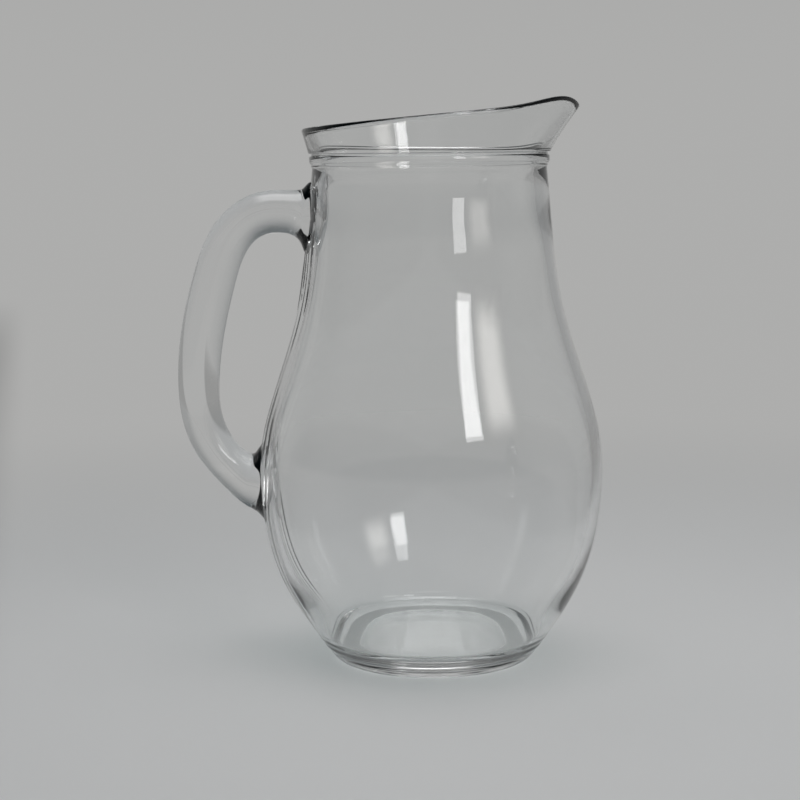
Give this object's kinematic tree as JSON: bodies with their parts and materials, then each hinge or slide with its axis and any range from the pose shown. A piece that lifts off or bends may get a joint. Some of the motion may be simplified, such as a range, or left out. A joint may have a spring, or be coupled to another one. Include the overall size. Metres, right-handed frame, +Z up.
{
  "type": "water jug",
  "caption": "Large clear glass water jug with a pear-shaped body, thick collar, rising pouring lip and an applied solid loop handle.",
  "frame": {"origin": "on the vessel's axis, in the plane the jug stands on", "axes": "+Z up along the vessel's axis; +X from the axis towards the spout, with the handle on -X; +Y completes the right-handed frame"},
  "size_m": [0.1892, 0.1524, 0.2496],
  "materials": {
    "vessel_glass": "clear colourless soda-lime glass, fire-polished",
    "handle_glass": "clear colourless soda-lime glass, solid, fire-polished"
  },
  "bodies": {
    "root": {"base_floor": "vessel_glass", "bowl_wall": "vessel_glass", "neck_collar": "vessel_glass", "pouring_rim": "vessel_glass", "upper_handle_root": "handle_glass", "handle_bow": "handle_glass", "lower_handle_root": "handle_glass"}
  },
  "joints": []
}
